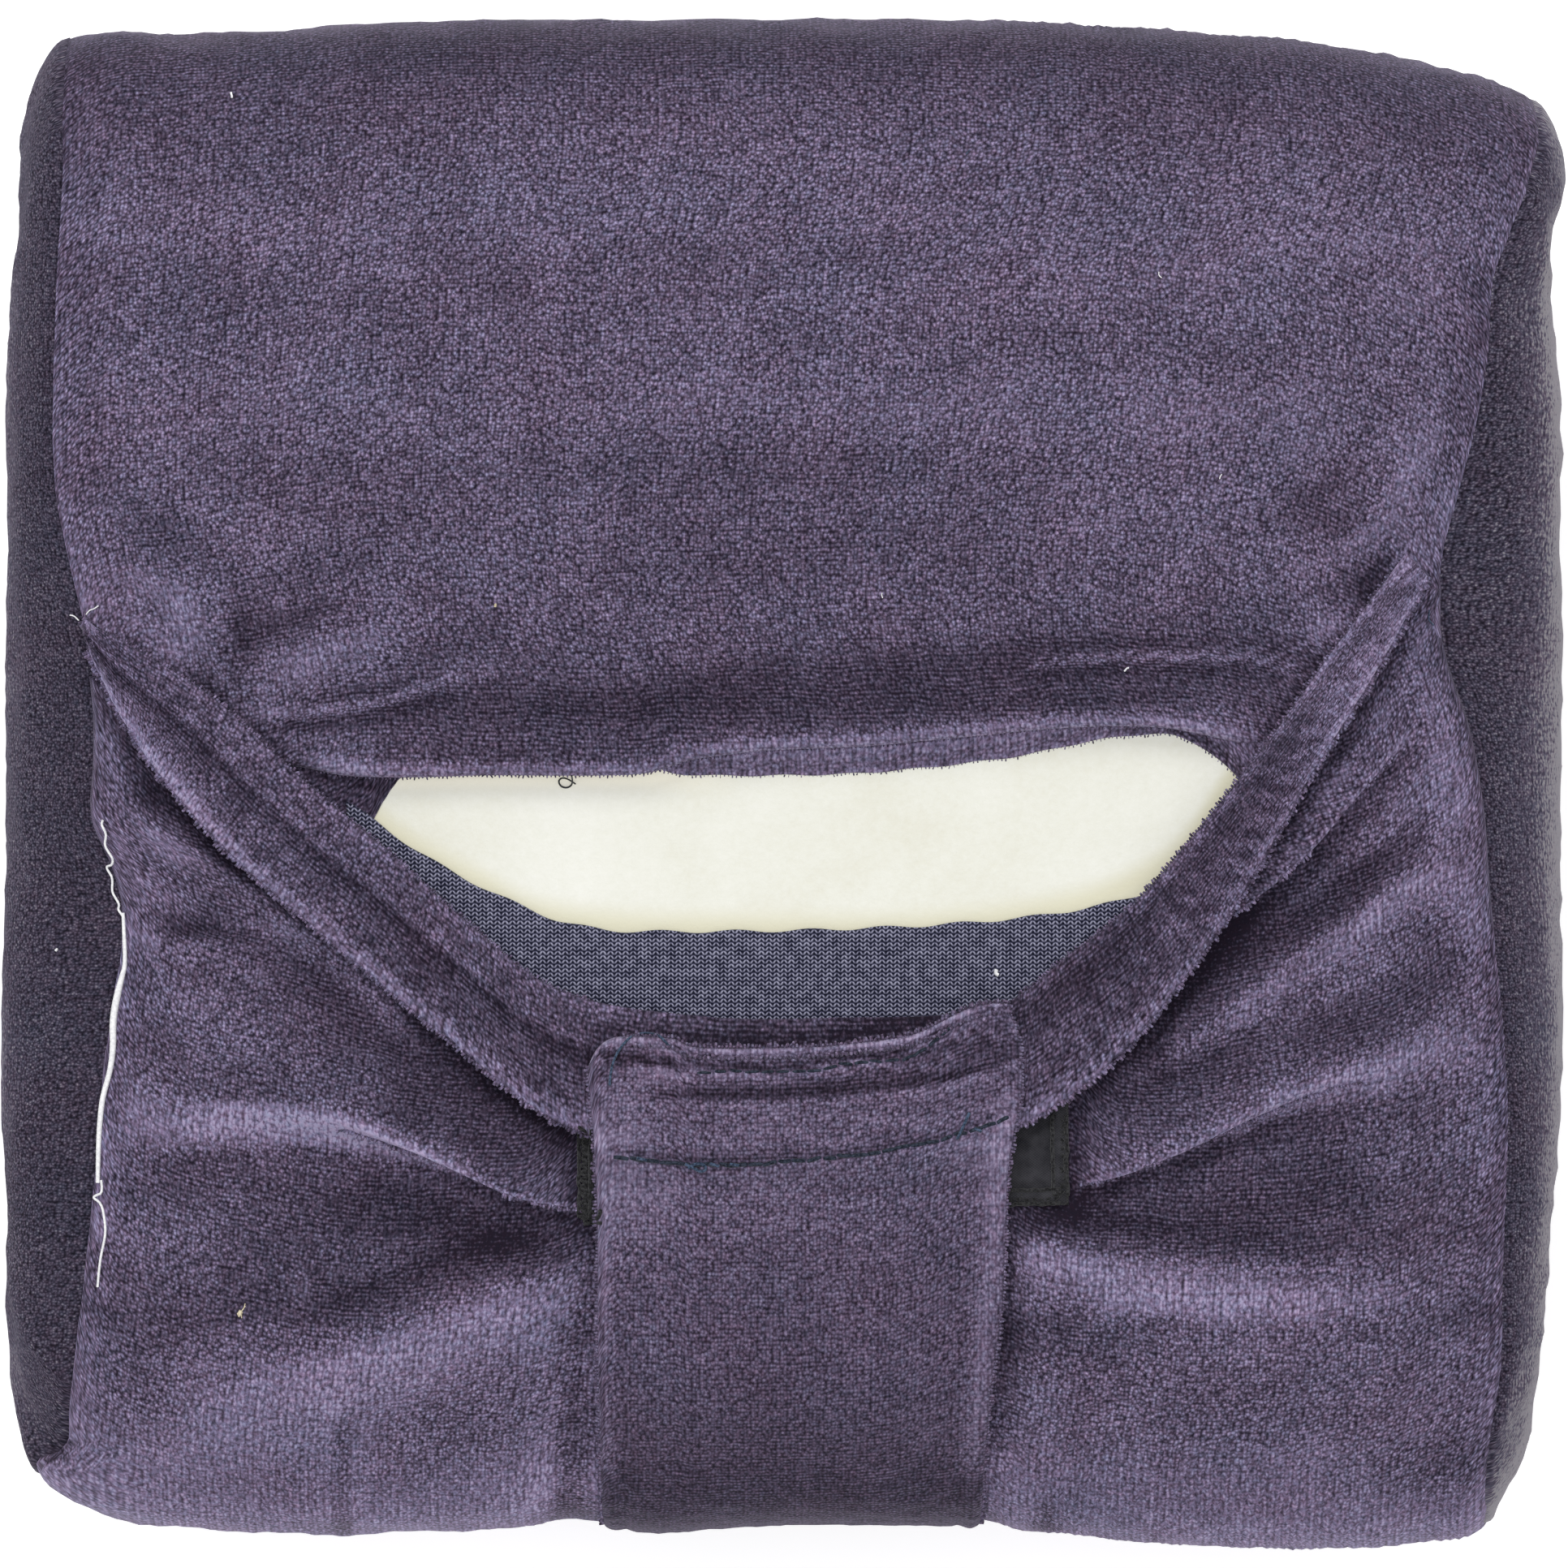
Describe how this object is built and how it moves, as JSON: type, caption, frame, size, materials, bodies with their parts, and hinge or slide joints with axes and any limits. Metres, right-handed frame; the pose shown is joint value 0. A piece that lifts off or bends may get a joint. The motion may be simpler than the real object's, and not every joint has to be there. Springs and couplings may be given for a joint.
{
  "type": "knee pillow",
  "caption": "Square foam knee pillow in a plush velour cover with side panels, an envelope mouth edged by a folded band, and a strap that pinches the pleated lower front.",
  "frame": {"origin": "on the surface the pillow lies on, under the middle of its box", "axes": "+Z out of the front with the mouth, +Y towards the plain upper end, +X to the right as the front is seen"},
  "size_m": [0.2376, 0.2334, 0.1038],
  "materials": {
    "velour": "dusty purple knitted velour with a short pile that lies towards the lower end",
    "velour_side": "the same velour seen against its pile, darker",
    "foam": "cream open-cell foam, matt",
    "knit": "smooth knit reverse of the velour, grey blue columns of loops",
    "patch_cloth": "black fine woven cloth with an overlocked edge"
  },
  "bodies": {
    "root": {"foam_core": "foam", "cover_wrap": "velour", "side_panel_left": "velour_side", "side_panel_right": "velour_side", "inner_facing": "knit", "neck_band": "velour", "patch": "patch_cloth", "strap": "velour"}
  },
  "joints": []
}
